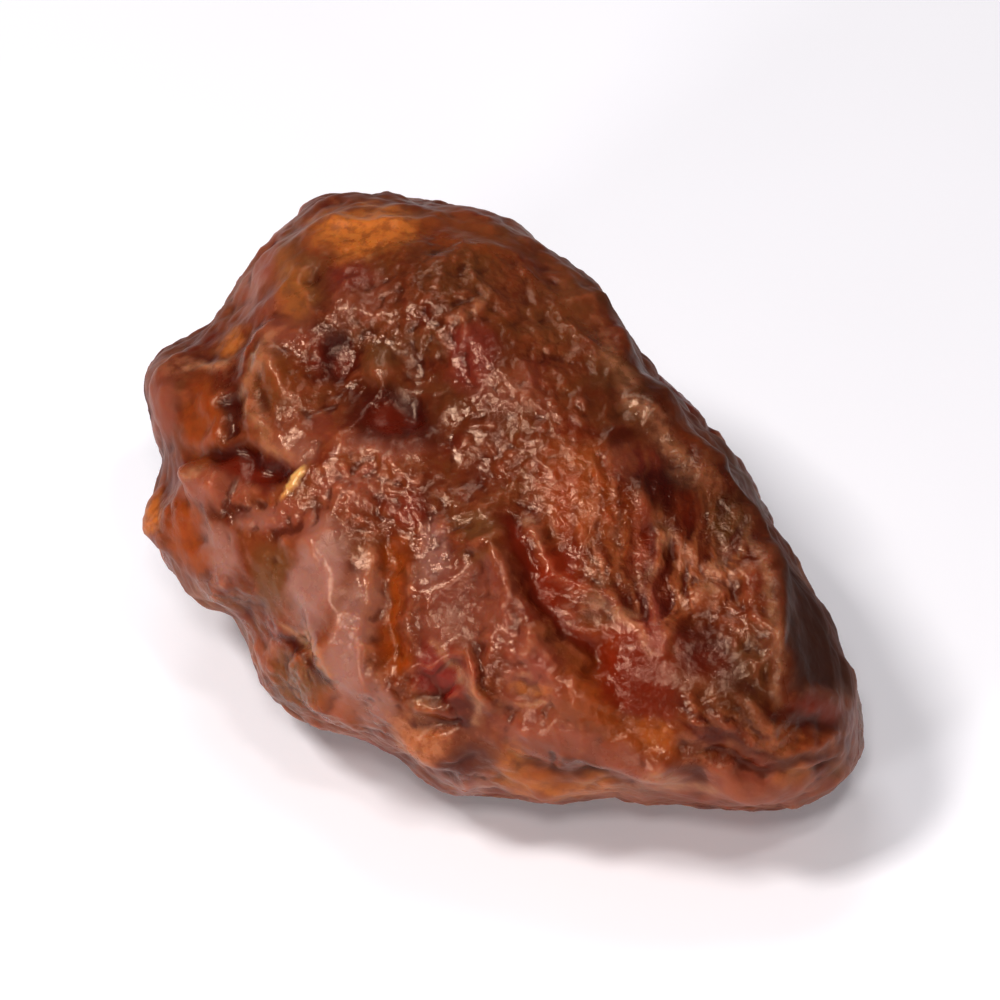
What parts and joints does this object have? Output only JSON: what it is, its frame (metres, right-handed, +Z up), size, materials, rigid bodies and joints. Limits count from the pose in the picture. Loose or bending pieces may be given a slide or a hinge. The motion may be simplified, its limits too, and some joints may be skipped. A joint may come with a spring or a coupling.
{
  "type": "prune",
  "caption": "Whole dried plum with a wrinkled, folded skin, a fat stem end with a small scar and a narrower tip, resting on its own flat spot.",
  "frame": {"origin": "under the middle of the fruit's bounding box, on the surface it rests on", "axes": "+Z up from the surface; +X along the fruit's longest extent, towards the tip's side; +Y towards the side of the fat stem end"},
  "size_m": [0.0336, 0.033, 0.0219],
  "materials": {
    "prune_skin": "soft satin with glossy sticky patches, dark red-brown, thin edges amber"
  },
  "bodies": {
    "root": {"prune": "prune_skin"}
  },
  "joints": []
}
